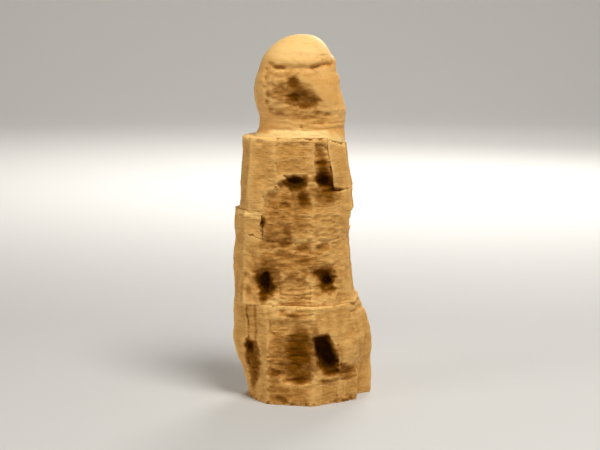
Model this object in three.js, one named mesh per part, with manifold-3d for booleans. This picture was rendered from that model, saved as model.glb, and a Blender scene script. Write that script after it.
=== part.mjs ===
// A carved fertility doll in pale wood: a smooth head with its own neck tenon, a rough-hewn torso and
// a flared, faceted pedestal on one dowel, and two blocks pegged into rebates at the left elbow and the
// right shoulder. Millimetres, +Z up. The origin is the centre of the doll's box on the surface it stands
// on, and -Y is its front. Left and right are the viewer's, looking at the front.
import * as THREE from "three";
import { mergeVertices } from "three/addons/utils/BufferGeometryUtils.js";
import Module from "manifold-3d";

// Heights of the lines that run round the figure.
const PEDESTAL_TOP = 49;
const CHEST_LINE = 95;
const SHOULDER_RIM = 131;
const CROWN = 180;

// Joinery.
const GLUE_GAP = 0.3; // between a let-in block and its rebate
const TURNED_SIDES = 40; // facets round a tenon, dowel or socket
const NECK_TENON = { radius: 9, length: 26 };
const WAIST_DOWEL = { radius: 6, length: 36 };
const SIDE_PEG = { radius: 2, length: 10 };
const SOCKET_PLAY = 0.15; // radial
const SOCKET_BOTTOM = 0.5; // room left under the end of a tenon, dowel or peg

// Where the two let-in blocks meet the torso. The elbow block's foot slopes down to its inner edge, and
// the shoulder slab's inner edge leans out towards its foot.
const ELBOW_BLOCK = { inner_x: -20, foot_outside: 87.5, foot_inside: 81.6, back_y: 4 };
const SHOULDER_SLAB = { top_x: 11.6, foot_x: 15.8, foot: 105.5, back_y: 7 };

// A notch in the right side, under the overhang of the chest.
const SIDE_NOTCH = { top_x: 21.3, foot_x: 22.4, foot: 85.5, front_y: -9, back_y: 10 };

// Outlines of the pedestal seen from above, anticlockwise from the left-hand corner. Its knife-cut facets
// run up it.
const FOOT_OUTLINE = [
  [-27.2, -7], [-17.2, -20.6], [5.4, -25], [16.8, -18.5], [26.4, -11.7], [26.8, -1.6], [34.4, 3.1],
  [33, 13], [24, 21.5], [8, 25], [-10, 23.5], [-22, 16], [-27.4, 5],
];
const HIP_OUTLINE = [
  [-34.5, -6], [-17.2, -20], [5.2, -23.5], [17.5, -19.5], [27.5, -11.5], [31, -3], [34.8, 4],
  [33, 13], [24, 21.5], [8, 25], [-11, 24], [-26, 17], [-34.3, 5],
];
const LEDGE_OUTLINE = [
  [-34.5, -6], [-19, -18.5], [4.5, -22.5], [15, -19.5], [22.5, -13], [26, -5], [28.5, 4],
  [26.5, 12.5], [20, 19.5], [7, 23.5], [-11, 23], [-26, 16.5], [-34.3, 5],
];
const PEDESTAL_LEVELS = [
  // height, how far from the foot's outline to the hip's
  [0, 0], [5, 0], [10, 0.15], [20, 0.7], [31, 1],
];

// The torso's outline, as shares of its reach to each side. Its reach changes from level to level.
const TRUNK_OUTLINE = [
  [-1, -0.22], [-0.86, -0.72], [-0.4, -0.95], [0.22, -1], [0.6, -0.88], [0.95, -0.45], [1, 0.15],
  [0.75, 0.75], [0.2, 1], [-0.4, 0.98], [-0.82, 0.66], [-1, 0.2],
];
const WAIST_LEVELS = [
  { z: PEDESTAL_TOP, left: 33.8, right: 26.2, front: 21.2, back: 22 },
  { z: 56, left: 33.9, right: 25, front: 20.3, back: 21.8 },
  { z: 74, left: 33.8, right: 23.9, front: 19.5, back: 21.5 },
  { z: 81, left: 33.1, right: 22.9, front: 20, back: 21 },
  { z: 86, left: 33.1, right: 23.9, front: 20.2, back: 20.9 },
  { z: CHEST_LINE, left: 33.1, right: 25, front: 20.5, back: 20.5 },
];
const CHEST_LEVELS = [
  { z: CHEST_LINE, left: 31.1, right: 25.3, front: 20.5, back: 20.5 },
  { z: 113, left: 30.5, right: 23.3, front: 20.5, back: 20 },
  { z: SHOULDER_RIM, left: 29.4, right: 21, front: 19.5, back: 19 },
];

// The head: a flange on the rim, a short neck, cheeks over a lock of hair on the right, and a rounded cap.
const HEAD_SIDES = 36;
const HEAD_SQUARENESS = 2.3; // 2 is an ellipse, more is squarer
const HEAD_LEVELS = [
  { z: SHOULDER_RIM, left: 24, right: 20.8, front: 18.8, back: 17.8 },
  { z: 132.4, left: 22.6, right: 20.7, front: 17.9, back: 17.5 },
  { z: 134.4, left: 21.3, right: 20.3, front: 16.3, back: 17 },
  { z: 140, left: 21.1, right: 20.6, front: 16.2, back: 17 },
  { z: 143, left: 22, right: 21.1, front: 17, back: 17.5 },
  { z: 148, left: 23.5, right: 19.8, front: 18.2, back: 18.5 },
  { z: 153, left: 24, right: 18.3, front: 18.6, back: 19 },
  { z: 158, left: 23.4, right: 17.2, front: 18.4, back: 19 },
  { z: 162.5, left: 21.6, right: 15.3, front: 17.6, back: 18.5 },
  { z: 165.5, left: 20.9, right: 14.7, front: 17, back: 18 },
  { z: 169.5, left: 19.3, right: 13.7, front: 16.6, back: 16.5 },
  { z: 173.5, left: 15.9, right: 12.1, front: 13.6, back: 13.5 },
  { z: 177, left: 11.7, right: 9.3, front: 9.6, back: 9.5 },
  { z: 179.2, left: 6.8, right: 6, front: 5.6, back: 5.6 },
];

// Hollows carved into the front: centre, half sizes, and lean of the long side to the right, in degrees.
const FACE_HOLLOW = { at: [-0.5, -20.5, 149.5], half: [6, 5, 5.5], lean: 0 };
const LEFT_BREAST_SLOT = { at: [-4, -21.5, 110.6], half: [4.6, 4.5, 2.4], lean: 0 };
const RIGHT_BREAST_SLOT = { at: [9.5, -21.5, 110.5], half: [3.6, 5, 5.5], lean: -15 };
const LEFT_WAIST_HOLLOW = { at: [-18.5, -19, 60], half: [3, 7, 6.5], lean: 0 };
const RIGHT_WAIST_HOLLOW = { at: [12, -20.5, 61], half: [3.2, 7, 5.2], lean: -8 };
const LEFT_HIP_HOLLOW = { at: [-26.3, -14.8, 26], half: [2.2, 4.5, 4.5], lean: -8 };
const RIGHT_KNEE_HOLLOW = { at: [11, -22.5, 25.5], half: [4.4, 8.5, 9.5], lean: -22 };

const wasm = await Module();
wasm.setup();

// A closed three.js geometry as a manifold-3d solid.
function solidFrom(geometry) {
  const bare = geometry.clone();
  bare.deleteAttribute("normal");
  bare.deleteAttribute("uv");
  const merged = mergeVertices(bare, 1e-4);
  const vertProperties = new Float32Array(merged.attributes.position.array);
  const triVerts = new Uint32Array(merged.index.array);
  return new wasm.Manifold(new wasm.Mesh({ numProp: 3, vertProperties, triVerts }));
}

// A manifold-3d solid as a three.js geometry.
function geometryFrom(solid) {
  const { vertProperties, triVerts } = solid.getMesh();
  const geometry = new THREE.BufferGeometry();
  geometry.setAttribute("position", new THREE.BufferAttribute(new Float32Array(vertProperties), 3));
  geometry.setIndex(new THREE.BufferAttribute(new Uint32Array(triVerts), 1));
  geometry.computeVertexNormals();
  return geometry;
}

// The closed solid through a stack of rings, lowest first, each with as many points, anticlockwise.
function loft(rings) {
  const count = rings[0].length;
  const positions = [];
  const index = [];
  const middles = [rings[0], rings[rings.length - 1]].map((ring) =>
    ring.reduce((sum, point) => sum.add(point), new THREE.Vector3()).divideScalar(count),
  );
  for (const point of [...rings.flat(), ...middles]) positions.push(point.x, point.y, point.z);
  const [bottomMiddle, topMiddle] = [rings.length * count, rings.length * count + 1];
  const lastRing = (rings.length - 1) * count;
  for (let side = 0; side < count; side += 1) {
    const next = (side + 1) % count;
    for (let level = 0; level < rings.length - 1; level += 1) {
      const [low, high] = [level * count, (level + 1) * count];
      index.push(low + side, low + next, high + next, low + side, high + next, high + side);
    }
    index.push(bottomMiddle, next, side, topMiddle, lastRing + side, lastRing + next);
  }
  const geometry = new THREE.BufferGeometry();
  geometry.setAttribute("position", new THREE.Float32BufferAttribute(positions, 3));
  geometry.setIndex(index);
  return solidFrom(geometry);
}

const ringAt = (outline, z) => outline.map(([x, y]) => new THREE.Vector3(x, y, z));

const between = (from, to, share) =>
  from.map(([x, y], i) => [x + (to[i][0] - x) * share, y + (to[i][1] - y) * share]);

// The trunk's outline stretched to one level's reach.
function trunkRing({ z, left, right, front, back }) {
  const corners = TRUNK_OUTLINE.map(([x, y]) => [x * (x < 0 ? left : right), y * (y < 0 ? front : back)]);
  return ringAt(corners, z);
}

// A rounded section of the head, squarer than an ellipse, stretched to one level's reach.
function headRing({ z, left, right, front, back }) {
  const corners = [];
  for (let side = 0; side < HEAD_SIDES; side += 1) {
    const angle = (2 * Math.PI * side) / HEAD_SIDES;
    const x = Math.sign(Math.cos(angle)) * Math.abs(Math.cos(angle)) ** (2 / HEAD_SQUARENESS);
    const y = Math.sign(Math.sin(angle)) * Math.abs(Math.sin(angle)) ** (2 / HEAD_SQUARENESS);
    corners.push([x * (x < 0 ? left : right), y * (y < 0 ? front : back)]);
  }
  return ringAt(corners, z);
}

// A cylinder along Z from one height to another.
function uprightCylinder(radius, low, high) {
  const geometry = new THREE.CylinderGeometry(radius, radius, high - low, TURNED_SIDES);
  return solidFrom(geometry.rotateX(Math.PI / 2).translate(0, 0, (low + high) / 2));
}

// A cylinder along X.
function levelCylinder(radius, low, high, y, z) {
  const geometry = new THREE.CylinderGeometry(radius, radius, high - low, TURNED_SIDES);
  return solidFrom(geometry.rotateZ(Math.PI / 2).translate((low + high) / 2, y, z));
}

// A prism that runs from front to back, from its outline [x, z] as seen from the front.
function prism(outline, frontY, backY) {
  const shape = new THREE.Shape(outline.map(([x, z]) => new THREE.Vector2(x, z)));
  const geometry = new THREE.ExtrudeGeometry(shape, { depth: backY - frontY, bevelEnabled: false });
  return solidFrom(geometry.rotateX(Math.PI / 2).translate(0, backY, 0));
}

// A scooped hollow, as a gouge leaves it.
function hollow({ at, half, lean }) {
  const geometry = new THREE.SphereGeometry(1, 20, 14).scale(...half);
  return solidFrom(geometry.rotateY(THREE.MathUtils.degToRad(lean)).translate(...at));
}

const cutAll = (solid, cutters) => cutters.reduce((left, cutter) => left.subtract(cutter), solid);

// The dowel through the waist seam, and the pegs that hold the two blocks.
const waistDowelSpan = [PEDESTAL_TOP - WAIST_DOWEL.length / 2, PEDESTAL_TOP + WAIST_DOWEL.length / 2];
const elbowPeg = { middle: ELBOW_BLOCK.inner_x, y: -5, z: 89.5 };
const shoulderPeg = { middle: 14.3, y: -8, z: 116 }; // it passes in front of the neck tenon

function peg({ middle, y, z }, play = 0, endRoom = 0) {
  const reach = SIDE_PEG.length / 2 + endRoom;
  return levelCylinder(SIDE_PEG.radius + play, middle - reach, middle + reach, y, z);
}

const pegSocket = (place) => peg(place, SOCKET_PLAY, SOCKET_BOTTOM);

function makePedestal() {
  const rings = PEDESTAL_LEVELS.map(([z, share]) => ringAt(between(FOOT_OUTLINE, HIP_OUTLINE, share), z));
  rings.push(ringAt(between(HIP_OUTLINE, LEDGE_OUTLINE, 0.45), 41), ringAt(LEDGE_OUTLINE, PEDESTAL_TOP));
  const socketFloor = waistDowelSpan[0] - SOCKET_BOTTOM;
  return cutAll(loft(rings), [
    uprightCylinder(WAIST_DOWEL.radius + SOCKET_PLAY, socketFloor, PEDESTAL_TOP + 1),
    hollow(LEFT_HIP_HOLLOW),
    hollow(RIGHT_KNEE_HOLLOW),
  ]);
}

// The whole torso with its blocks in place: the chest stands on a waist that is notched on the right.
const FAR = 60;
function trunkEnvelope() {
  const waist = loft(WAIST_LEVELS.map(trunkRing));
  const chest = loft(CHEST_LEVELS.map(trunkRing));
  const { top_x, foot_x, foot, front_y, back_y } = SIDE_NOTCH;
  const outline = [[top_x, CHEST_LINE], [foot_x, foot], [FAR, foot], [FAR, CHEST_LINE]];
  const notch = prism(outline, front_y, back_y);
  return waist.subtract(notch).add(chest);
}

// The room that each block fills, grown by the glue gap where the torso is cut back for it.
const OUTSIDE_LEFT = -36;
function elbowRoom(gap) {
  const { inner_x, foot_outside, foot_inside, back_y } = ELBOW_BLOCK;
  const inner = inner_x + gap;
  const outline = [
    [OUTSIDE_LEFT, foot_outside - gap], [inner, foot_inside - gap], [inner, CHEST_LINE + gap],
    [OUTSIDE_LEFT, CHEST_LINE + gap],
  ];
  return prism(outline, -FAR, back_y + gap);
}

function shoulderRoom(gap) {
  const { top_x, foot_x, foot, back_y } = SHOULDER_SLAB;
  const outline = [
    [foot_x - gap, foot - gap], [FAR, foot - gap], [FAR, SHOULDER_RIM + 1], [top_x - gap, SHOULDER_RIM + 1],
  ];
  return prism(outline, -FAR, back_y + gap);
}

function makeTorso() {
  const dowelTop = waistDowelSpan[1] + SOCKET_BOTTOM;
  const tenonFoot = SHOULDER_RIM - NECK_TENON.length - SOCKET_BOTTOM;
  return cutAll(trunkEnvelope(), [
    elbowRoom(GLUE_GAP),
    shoulderRoom(GLUE_GAP),
    pegSocket(elbowPeg),
    pegSocket(shoulderPeg),
    uprightCylinder(WAIST_DOWEL.radius + SOCKET_PLAY, PEDESTAL_TOP - 1, dowelTop),
    uprightCylinder(NECK_TENON.radius + SOCKET_PLAY, tenonFoot, SHOULDER_RIM + 1),
    hollow(LEFT_BREAST_SLOT),
    hollow(RIGHT_BREAST_SLOT),
    hollow(LEFT_WAIST_HOLLOW),
    hollow(RIGHT_WAIST_HOLLOW),
  ]);
}

const makeElbowBlock = () => trunkEnvelope().intersect(elbowRoom(0)).subtract(pegSocket(elbowPeg));

const makeShoulderSlab = () =>
  cutAll(trunkEnvelope().intersect(shoulderRoom(0)), [pegSocket(shoulderPeg), hollow(RIGHT_BREAST_SLOT)]);

function makeHead() {
  const crownRing = headRing({ z: CROWN, left: 1.5, right: 1.5, front: 1.5, back: 1.5 });
  const skull = loft([...HEAD_LEVELS.map(headRing), crownRing]);
  const tenon = uprightCylinder(NECK_TENON.radius, SHOULDER_RIM - NECK_TENON.length, SHOULDER_RIM + 2);
  return skull.add(tenon).subtract(hollow(FACE_HOLLOW));
}

const paleWood = (color, roughness) => new THREE.MeshStandardMaterial({ color, roughness, metalness: 0 });
const SMOOTHED_WOOD = paleWood("#e6c084", 0.55);
const HEWN_WOOD = paleWood("#cda168", 0.75);
const DOWEL_WOOD = paleWood("#b98b54", 0.7);

const doll = new THREE.Group();

function place(name, solid, material) {
  const mesh = new THREE.Mesh(geometryFrom(solid), material);
  mesh.name = name;
  doll.add(mesh);
}

place("head", makeHead(), SMOOTHED_WOOD);
place("torso", makeTorso(), HEWN_WOOD);
place("pedestal", makePedestal(), HEWN_WOOD);
place("left_elbow_block", makeElbowBlock(), HEWN_WOOD);
place("right_shoulder_slab", makeShoulderSlab(), HEWN_WOOD);
place("waist_dowel", uprightCylinder(WAIST_DOWEL.radius, ...waistDowelSpan), DOWEL_WOOD);
place("left_elbow_peg", peg(elbowPeg), DOWEL_WOOD);
place("right_shoulder_peg", peg(shoulderPeg), DOWEL_WOOD);

export default doll;
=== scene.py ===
"""A carved fertility doll in pale, unvarnished wood, on a pale floor under soft studio light.

Each outer solid of the frame is the blank of its piece. The blank is copied, given an even skin of small
faces, and then carved stroke by stroke: hollows and ledges, then the level marks of the tool, then chips.
Strokes are in millimetres: along x, or along y on the left and right sides, and up from the foot.
Left and right are the viewer's, looking at the front, which faces -Y.
"""
import math
from itertools import product
from random import Random

import bpy
import numpy as np
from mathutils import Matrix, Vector


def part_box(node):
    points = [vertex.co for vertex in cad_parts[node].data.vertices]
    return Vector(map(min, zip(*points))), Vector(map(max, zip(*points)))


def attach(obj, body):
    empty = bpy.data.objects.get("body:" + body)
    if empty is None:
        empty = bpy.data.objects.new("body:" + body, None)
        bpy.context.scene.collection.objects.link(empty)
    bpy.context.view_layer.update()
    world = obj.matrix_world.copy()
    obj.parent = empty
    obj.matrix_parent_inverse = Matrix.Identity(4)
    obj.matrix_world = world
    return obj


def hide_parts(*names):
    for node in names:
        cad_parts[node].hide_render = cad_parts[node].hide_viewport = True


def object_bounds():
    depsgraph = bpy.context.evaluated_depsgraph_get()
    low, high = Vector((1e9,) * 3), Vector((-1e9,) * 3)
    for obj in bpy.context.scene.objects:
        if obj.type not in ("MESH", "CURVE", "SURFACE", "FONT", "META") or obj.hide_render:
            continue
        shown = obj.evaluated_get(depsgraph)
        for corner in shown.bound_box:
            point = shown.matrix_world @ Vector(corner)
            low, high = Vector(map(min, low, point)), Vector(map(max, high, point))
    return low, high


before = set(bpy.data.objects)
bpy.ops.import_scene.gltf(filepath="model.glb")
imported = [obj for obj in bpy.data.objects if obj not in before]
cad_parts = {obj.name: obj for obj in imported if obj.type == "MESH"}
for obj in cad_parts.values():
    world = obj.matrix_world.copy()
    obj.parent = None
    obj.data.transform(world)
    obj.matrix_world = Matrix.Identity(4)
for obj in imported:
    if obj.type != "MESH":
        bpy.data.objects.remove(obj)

MM = 0.001
cad_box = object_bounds()

# The lines that run round the figure, from the frame.
PEDESTAL_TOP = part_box("pedestal")[1].z / MM
SHOULDER_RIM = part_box("torso")[1].z / MM
ELBOW_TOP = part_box("left_elbow_block")[1].z / MM
SLAB_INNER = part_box("right_shoulder_slab")[0].x / MM
CROWN = cad_box[1].z / MM

# Each side of the doll: the axis that runs across it, and the way that a tool pushes into it.
SIDES = {
    "front": (0, (0, 1, 0)),
    "back": (0, (0, -1, 0)),
    "left": (1, (1, 0, 0)),
    "right": (1, (-1, 0, 0)),
}


# ---------------------------------------------------------------------------------------------- tools

def select_only(piece):
    bpy.ops.object.select_all(action="DESELECT")
    piece.hide_viewport = False
    piece.select_set(True)
    bpy.context.view_layer.objects.active = piece


def blank(node, name):
    """A copy of a solid of the frame, its loose triangles merged."""
    piece = bpy.data.objects.new(name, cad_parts[node].data.copy())
    bpy.context.scene.collection.objects.link(piece)
    piece.data.materials.clear()
    select_only(piece)
    bpy.ops.object.mode_set(mode="EDIT")
    bpy.ops.mesh.select_all(action="SELECT")
    bpy.ops.mesh.remove_doubles(threshold=0.001 * MM)
    bpy.ops.object.mode_set(mode="OBJECT")
    return piece


def stretch_up(piece, times):
    select_only(piece)
    bpy.ops.object.mode_set(mode="EDIT")
    bpy.ops.mesh.select_all(action="SELECT")
    bpy.ops.transform.resize(value=(1, 1, times), center_override=(0, 0, 0))
    bpy.ops.object.mode_set(mode="OBJECT")


def even_skin(piece, across, up):
    """Gives a piece an even skin of faces this many mm across and up. Low faces keep level cuts crisp."""
    stretch_up(piece, across / up)
    skin = piece.modifiers.new("even skin", "REMESH")
    skin.mode = "VOXEL"
    skin.voxel_size = across * MM
    bpy.ops.object.modifier_apply(modifier=skin.name)
    stretch_up(piece, up / across)


def vectors(items, name):
    flat = np.empty(len(items) * 3)
    items.foreach_get(name, flat)
    return flat.reshape(-1, 3)


def smooth_step(value):
    value = np.clip(value, 0, 1)
    return value * value * (3 - 2 * value)


def lumps(points, size, seed):
    """Smooth random heights from -1 to 1, in lumps of the given size in mm along x, y and z."""
    place = points / np.array(size) + seed * 17.31
    cell = np.floor(place).astype(np.int64)
    part = smooth_step(place - cell)
    total = np.zeros(len(points))
    for corner in product((0, 1), repeat=3):
        x, y, z = (cell + corner).T
        mixed = (x * 73856093) ^ (y * 19349663) ^ (z * 83492791)
        mixed = ((mixed ^ (mixed >> 13)) * 1274126177) & 0x7FFFFFFF
        mixed = mixed ^ (mixed >> 15)
        share = np.prod(np.where(np.array(corner) == 1, part, 1 - part), axis=1)
        total += ((mixed & 0xFFFF) / 0x7FFF - 1) * share
    return total


def distance_to_line(flat, start, end):
    side = np.array(end, float) - start
    offset = flat - start
    along = np.clip(offset @ side / (side @ side), 0, 1)
    return np.linalg.norm(offset - along[:, None] * side, axis=1)


def depth_inside(flat, outline):
    """How far inside a closed outline each point is, in mm, and less than 0 outside it."""
    corners = np.array(outline, float)
    nearest = np.full(len(flat), 1e9)
    odd = np.zeros(len(flat), bool)
    for start, end in zip(corners, np.roll(corners, -1, axis=0)):
        nearest = np.minimum(nearest, distance_to_line(flat, start, end))
        if start[1] != end[1]:
            spans = (start[1] > flat[:, 1]) != (end[1] > flat[:, 1])
            crossing = start[0] + (flat[:, 1] - start[1]) * (end[0] - start[0]) / (end[1] - start[1])
            odd ^= spans & (flat[:, 0] < crossing)
    return np.where(odd, nearest, -nearest)


class Carving:
    """A piece's skin while it is carved: where each point has got to, how much stain and painted shade darken
    it, and how much wear and painted highlight make it pale.
    """

    def __init__(self, piece, reach, core, dome=None):
        """reach: how far the wood goes to the left, right, front and back of the middle, in mm.
        core: the radius of the sockets and tenons in the middle, which are left as they are.
        dome: the height where a rounded top begins."""
        self.piece = piece
        mesh = piece.data
        self.start = vectors(mesh.vertices, "co") / MM
        self.points = self.start.copy()
        self.facing = vectors(mesh.vertices, "normal")
        self.stain_and_shade = np.zeros(len(self.start))
        self.wear_and_highlight = np.zeros(len(self.start))
        self.noises = {}
        x, y, z = self.start.T
        left, right, front, back = reach
        shares = [x / np.where(x < 0, left, right), y / np.where(y < 0, front, back), np.zeros(len(z))]
        if dome:
            shares[2] = np.maximum(z - dome, 0) / (CROWN - dome)
        out = np.maximum(np.linalg.norm(shares, axis=0), 0.01)
        self.bearing = np.array(shares).T / out[:, None]
        from_axis = np.hypot(x, y)
        self.outward = self.bearing * [1, 1, bool(dome)]
        self.free = (from_axis > core) | (z > (dome or np.inf))
        self.skin = self.free * smooth_step((out - 0.42) / 0.25)
        ends = np.empty(len(mesh.edges) * 2, int)
        mesh.edges.foreach_get("vertices", ends)
        order = np.argsort(ends, kind="stable")
        self.others = ends.reshape(-1, 2)[:, ::-1].ravel()[order]
        self.neighbours = np.bincount(ends, minlength=len(self.start))
        self.firsts = np.concatenate([[0], np.cumsum(self.neighbours)[:-1]])

    def noise(self, size, seed):
        """Lumps over the uncut skin. Many strokes ask for the same ones, so they are kept."""
        if (size, seed) not in self.noises:
            self.noises[size, seed] = lumps(self.start, size, seed)
        return self.noises[size, seed]

    def averaged(self, values, passes):
        """Values, one row for each point, blurred into their neighbours' values."""
        for _ in range(passes):
            sums = np.add.reduceat(values[self.others], self.firsts, axis=0)
            values = 0.4 * values + 0.6 * sums / self.neighbours[:, None]
        return values

    def seen_from(self, side):
        """The points across and up on one side, the push into it, and how squarely each point faces it."""
        across, push = SIDES[side]
        squarely = np.clip(-(self.bearing @ np.array(push)) * 2.2, 0, 1) * self.skin
        return self.start[:, [across, 2]], np.array(push, float), squarely

    def oval(self, flat, at, half, lean, ragged):
        """How far each point is from an oval's middle, where 1 is its rim. lean tips its top to the right,
        in degrees."""
        turn = math.radians(lean)
        offset = flat - np.array(at)
        level = offset[:, 0] * math.cos(turn) - offset[:, 1] * math.sin(turn)
        upright = offset[:, 0] * math.sin(turn) + offset[:, 1] * math.cos(turn)
        return np.hypot(level / half[0], upright / half[1]) + ragged * self.noise((2, 2, 1.4), 4)

    def outline_depth(self, flat, outline, ragged):
        """How far inside an outline each point is, where the outline wanders by up to ragged mm."""
        wander = [self.noise((2.6, 2.6, 1.4), seed) for seed in (1, 2)]
        return depth_inside(flat + ragged * np.column_stack(wander), outline)

    def soften(self, where, passes):
        """Wears away the sharp edges of a zone."""
        self.points += where[:, None] * (self.averaged(self.points, passes) - self.points)

    def press(self, outline, depth, edge=1.2, ragged=0.5, top_depth=None, side="front"):
        """Cuts the skin back inside an outline, from depth at its foot to top_depth at its top."""
        flat, push, squarely = self.seen_from(side)
        heights = [corner[1] for corner in outline]
        up = np.clip((flat[:, 1] - min(heights)) / (max(heights) - min(heights)), 0, 1)
        deep = depth + ((depth if top_depth is None else top_depth) - depth) * up
        share = smooth_step(self.outline_depth(flat, outline, ragged) / edge + 0.5) * squarely
        self.points += (share * deep)[:, None] * push

    def line_distance(self, flat, path):
        return np.min([distance_to_line(flat, start, end) for start, end in zip(path, path[1:])], axis=0)

    def groove(self, path, width, depth, ragged=0.4, stain_and_shade=0.0, side="front"):
        """Cuts a rounded groove of this half width along a line of points, deeper here and there."""
        flat, push, squarely = self.seen_from(side)
        flat = flat + ragged * self.noise((2.5, 2.5, 2), 3)[:, None]
        uneven = 0.75 + 0.35 * self.noise((3, 3, 3), 7)
        share = smooth_step(1 - self.line_distance(flat, path) / width) * squarely * uneven
        self.points += (share * depth)[:, None] * push
        # The groove is darkened with stain and painted shade in the crease.
        self.stain_and_shade = np.maximum(self.stain_and_shade, share * stain_and_shade)

    def long_cuts(self, cuts, drift, width, depth, side):
        """Long knife cuts down one side, each given by its place across, its top and its foot."""
        for across, top, foot in cuts:
            self.groove([(across, top), (across + drift, foot)], width, depth, ragged=0.8, side=side)

    def level_tears(self, heights):
        """Level tears across the belly and the lap, one at each height."""
        for z in heights:
            self.groove([(-11, z + 0.3), (-4, z - 0.2), (3.6, z + 0.2)], 1.0, 0.6, ragged=0.8, stain_and_shade=0.16)

    def dent(self, at, half, depth, lean=0, ragged=0.25, side="front"):
        """Cuts an oval dent, or raises a swelling where depth is less than 0."""
        flat, push, squarely = self.seen_from(side)
        share = smooth_step(1.5 - 1.5 * self.oval(flat, at, half, lean, ragged)) * squarely
        self.points += (share * depth)[:, None] * push

    def darken(self, at, half, amount, lean=0, fade=1.4, ragged=0.25, side="front"):
        """Darkens an oval, with stain and painted shade. fade says how wide its soft edge is, as a share of
        half.
        """
        flat, _, squarely = self.seen_from(side)
        away = self.oval(flat, at, half, lean, ragged)
        self.stain_and_shade = np.maximum(self.stain_and_shade, smooth_step((1.1 - away) / fade + 0.5) * squarely * amount)

    def darken_ovals(self, *ovals):
        """Darkens several ovals on the front with stain and painted shade, each given by its middle, its half
        sizes and its amount.
        """
        for at, half, amount in ovals:
            self.darken(at, half, amount)

    def darken_inside(self, outline, amount, edge=3.0, side="front"):
        """Darkens all that is inside an outline with stain and painted shade, with a soft edge this many mm
        wide.
        """
        flat, _, squarely = self.seen_from(side)
        share = smooth_step(self.outline_depth(flat, outline, 0.8) / edge + 0.5) * squarely
        self.stain_and_shade = np.maximum(self.stain_and_shade, share * amount)

    def paint_highlight(self, path, width, amount, side="front"):
        """Paints a highlight along a line of points: the wood made pale where an edge or ledge catches the
        light.
        """
        flat, _, squarely = self.seen_from(side)
        flat = flat + 0.7 * self.noise((2.5, 2.5, 1.2), 9)[:, None]
        share = smooth_step(1.3 - self.line_distance(flat, path) / width) * squarely
        self.wear_and_highlight = np.maximum(self.wear_and_highlight, share * amount)

    def paint_highlight_band(self, low, high, amount, edge=1.5):
        """Paints a highlight all round, between two heights."""
        height = self.start[:, 2] + 0.6 * self.noise((3, 3, 3), 10)
        inside = np.minimum(height - low, high - height)
        self.wear_and_highlight = np.maximum(self.wear_and_highlight, smooth_step(inside / edge + 0.5) * self.skin * amount)

    def pare(self, at, facing, ragged=0.3):
        """Slices off all that stands beyond a flat cut through a point."""
        facing = np.array(facing, float) / np.linalg.norm(facing)
        beyond = (self.points - np.array(at)) @ facing + ragged * self.noise((2, 2, 2), 8)
        self.points -= (np.maximum(beyond, 0) * self.free)[:, None] * facing

    def draw_down(self, where, depth):
        """Lets the wood hang lower, by a depth at each point."""
        self.points[:, 2] -= where * depth * self.free

    def chip(self, at, radius):
        """Knocks out a bite, where a ball with its middle in the air meets the wood."""
        offset = self.points - at
        away = np.linalg.norm(offset, axis=1)
        reach = radius * (1 + 0.3 * self.noise((1.3, 1.3, 1.3), 6))
        bitten = (away < reach) & self.free
        self.points[bitten] = at + offset[bitten] * (reach / np.maximum(away, 0.01))[bitten, None]

    def chip_edge(self, height, count, largest, seed, first=0, last=360):
        """Chips at random along the edge at one height, between two bearings. 0 is right, 270 the front."""
        random = Random(seed)
        level = self.start[np.abs(self.start[:, 2] - height) < 0.5]
        bearings = np.degrees(np.arctan2(level[:, 1], level[:, 0])) % 360
        for _ in range(count):
            bearing = random.uniform(first, last)
            radius = largest * random.uniform(0.35, 1)
            near = level[np.abs((bearings - bearing + 180) % 360 - 180) < 3]
            if len(near) == 0:
                continue
            corner = near[np.argmax(np.linalg.norm(near[:, :2], axis=1))]
            away = np.array([math.cos(math.radians(bearing)), math.sin(math.radians(bearing)), 0.8])
            self.chip(np.array([*corner[:2], height]) + away * radius * random.uniform(0.3, 0.6), radius)

    def nibble(self, path, count, largest, seed, side="front"):
        """Breaks small bites out of an edge that runs along a line of points."""
        random = Random(seed)
        flat, push, squarely = self.seen_from(side)
        hidden = 50 * (squarely < 0.3)
        for _ in range(count):
            start, end = random.choice(list(zip(path, path[1:])))
            share = random.random()
            at = np.array(start) * (1 - share) + np.array(end) * share
            radius = largest * random.uniform(0.4, 1)
            away = np.linalg.norm(flat - at, axis=1) + hidden
            nearest = np.argmin(away)
            if away[nearest] < 1.5:
                self.chip(self.points[nearest] - push * radius * random.uniform(0.4, 0.7), radius)

    def lip(self, height, deep, seed):
        """Breaks the top edge of a piece back to an uneven slope."""
        uneven = 0.6 + 0.8 * self.noise((4, 4, 50), seed) + 0.4 * self.noise((1.4, 1.4, 50), seed + 1)
        back = np.maximum(self.start[:, 2] - (height - deep * uneven), 0) * self.skin
        self.points -= back[:, None] * self.outward

    def swell(self, amount):
        """Grows the outer wood until its joints are tight."""
        self.points += (amount * self.free)[:, None] * self.facing

    def set_back(self, depth):
        """Cuts towards the middle, so that both sides of a joint move together."""
        self.points -= (depth * self.skin)[:, None] * self.outward

    def layers(self, where, amount, pitch, seed):
        """Straight level layers, each torn back to its own uneven depth."""
        level = np.floor(self.start[:, 2] / pitch + 0.3 * self.noise((12, 12, 40), seed))
        torn = lumps(np.column_stack([self.start[:, :2], level * 7.7]), (2.6, 2.6, 1), seed + 1)
        self.set_back(where * amount * torn)

    def rasp(self, where, amount, size, seed):
        """Level tool marks: flat bands torn back to uneven depths, this long and high in mm."""
        ragged = self.start + 0.5 * self.noise((3, 3, 3), seed + 5)[:, None]
        self.set_back(where * amount * (smooth_step(lumps(ragged, size, seed) * 2.4 + 0.4) - 0.4))

    def scallops(self, where, amount, size, seed):
        """Shallow facets that meet in soft ridges, as a gouge leaves them."""
        wave = np.abs(self.noise(size, seed))
        self.set_back(where * amount * (0.5 - np.clip(wave * 1.6, 0, 1)))

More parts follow.
